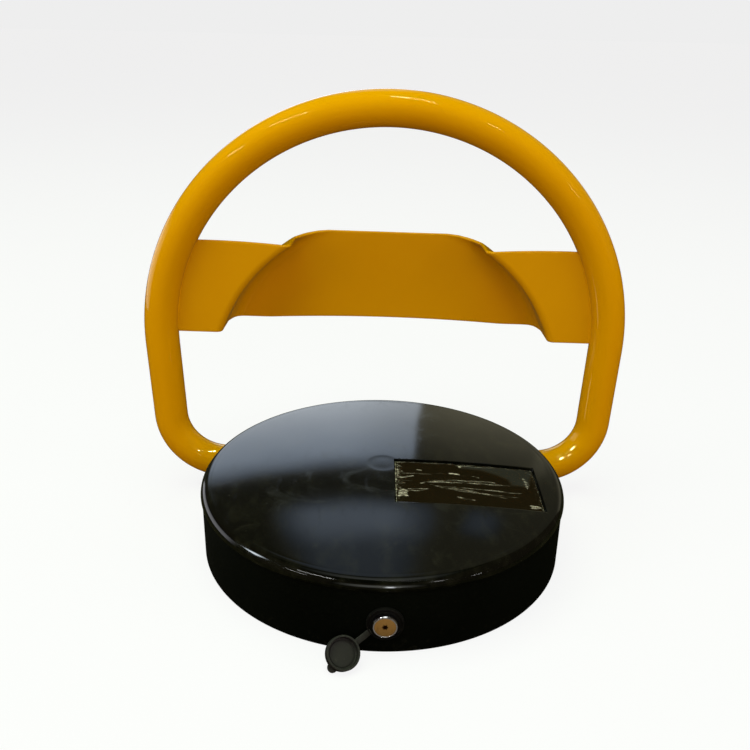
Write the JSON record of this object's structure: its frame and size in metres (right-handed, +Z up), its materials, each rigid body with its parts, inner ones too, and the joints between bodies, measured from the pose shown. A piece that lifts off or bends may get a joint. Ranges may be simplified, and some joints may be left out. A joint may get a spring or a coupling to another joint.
{
  "type": "folding parking lock",
  "caption": "Motor-driven parking barrier: a round anchored base with a glossy domed cover, a key lock, and a tubular loop with a dished cross plate that folds forward around the base.",
  "frame": {"origin": "centre of the base plate's underside, on the ground", "axes": "+Z up; +X to the right across the loop; the key lock faces -Y and the loop's pivot line lies behind the centre"},
  "size_m": [0.4598, 0.3542, 0.3932],
  "materials": {
    "yellow_paint": "glossy amber yellow powder coat",
    "black_wall": "matte fine-textured black powder coat",
    "black_cover": "polished black moulded plastic",
    "dark_panel": "dark glossy sheet under a wrinkled clear film",
    "black_rubber": "soft matte moulded rubber",
    "lock_chrome": "bright chrome plate",
    "lock_brass": "machined brass",
    "gear_brass": "cut brass",
    "zinc_steel": "bright zinc-plated sheet steel",
    "bare_steel": "machined steel, lightly oiled",
    "screw_steel": "zinc-plated screws",
    "cast_aluminium": "as-cast aluminium",
    "magnet_nickel": "nickel plate",
    "black_ferrite": "sintered ferrite",
    "rotor_copper": "laminations and enamelled copper",
    "white_nylon": "natural nylon",
    "black_plastic": "moulded black plastic",
    "cell_sleeve": "plain shrink sleeve",
    "board_green": "green solder mask",
    "relay_blue": "blue moulded case",
    "terminal_green": "green terminal plastic",
    "reed_glass": "clear glass",
    "lead_jacket": "round twin-core jacket"
  },
  "bodies": {
    "base": {"base_plate": "zinc_steel", "side_wall": "black_wall", "wall_brackets": "zinc_steel", "wall_bracket_screws": "screw_steel", "tube_grommets": "black_rubber", "cover_gasket": "black_rubber", "top_cover": "black_cover", "inset_panel": "dark_panel", "cover_latch": "zinc_steel", "cover_latch_screws": "screw_steel", "rear_keepers": "zinc_steel", "bearing_blocks": "cast_aluminium", "bearing_caps": "cast_aluminium", "pivot_bushes": "white_nylon", "bearing_screws": "screw_steel", "gearbox_housing": "cast_aluminium", "gearbox_lid": "cast_aluminium", "gearbox_screws": "screw_steel", "motor_can": "zinc_steel", "motor_end_cap": "black_plastic", "motor_magnets": "black_ferrite", "motor_bracket": "zinc_steel", "motor_bracket_screws": "screw_steel", "lock_barrel": "lock_chrome", "lock_nut": "lock_chrome", "dust_collar": "black_rubber", "battery_holder": "black_plastic", "battery_holder_screws": "screw_steel", "battery_cells": "cell_sleeve", "battery_contacts": "magnet_nickel", "battery_strap": "zinc_steel", "circuit_board": "board_green", "board_standoffs": "white_nylon", "board_screws": "screw_steel", "relays": "relay_blue", "control_chip": "black_plastic", "capacitors": "black_plastic", "terminal_block": "terminal_green", "sensor_bracket": "zinc_steel", "reed_switches": "reed_glass", "buzzer": "black_plastic", "internal_leads": "lead_jacket"},
    "arm": {"loop_tube": "yellow_paint", "cross_plate": "yellow_paint", "plate_welds": "yellow_paint", "gear_hub": "bare_steel", "idle_plug": "bare_steel", "position_magnet": "magnet_nickel", "tube_pins": "bare_steel", "drive_gear": "bare_steel", "gear_screws": "screw_steel"},
    "drive_shaft": {"output_shaft": "bare_steel", "pinion": "bare_steel", "worm_wheel": "gear_brass"},
    "worm": {"worm_shaft": "bare_steel", "motor_rotor": "rotor_copper"},
    "lock_core": {"lock_plug": "lock_brass", "lock_cam": "zinc_steel", "lock_cam_screw": "screw_steel"},
    "dust_cap": {"dust_cap": "black_rubber"}
  },
  "joints": [
    {"name": "arm_fold", "type": "hinge", "parent": "base", "child": "arm", "pos_m": [0, 0.084, 0.028], "axis": [1, 0, 0], "range_deg": [0, 90]},
    {"name": "pinion_spin", "type": "hinge", "parent": "base", "child": "drive_shaft", "pos_m": [0, 0.05581, 0.03826], "axis": [1, 0, 0], "range_deg": [-247.5, 0]},
    {"name": "worm_spin", "type": "hinge", "parent": "base", "child": "worm", "pos_m": [0.0475, 0, 0.02506], "axis": [0, 1, 0], "range_deg": [-9900, 0]},
    {"name": "lock_turn", "type": "hinge", "parent": "base", "child": "lock_core", "pos_m": [0.002, -0.16899, 0.028], "axis": [0, -1, 0], "range_deg": [0, 90]},
    {"name": "dust_cap_flip", "type": "hinge", "parent": "base", "child": "dust_cap", "pos_m": [-0.01462, -0.16699, 0.01761], "axis": [0.5119, -0.2588, -0.8192], "range_deg": [-140, 0]}
  ],
  "couplings": [
    {"joint": "pinion_spin", "follows": "arm_fold", "ratio": -2.75},
    {"joint": "worm_spin", "follows": "arm_fold", "ratio": -110}
  ]
}
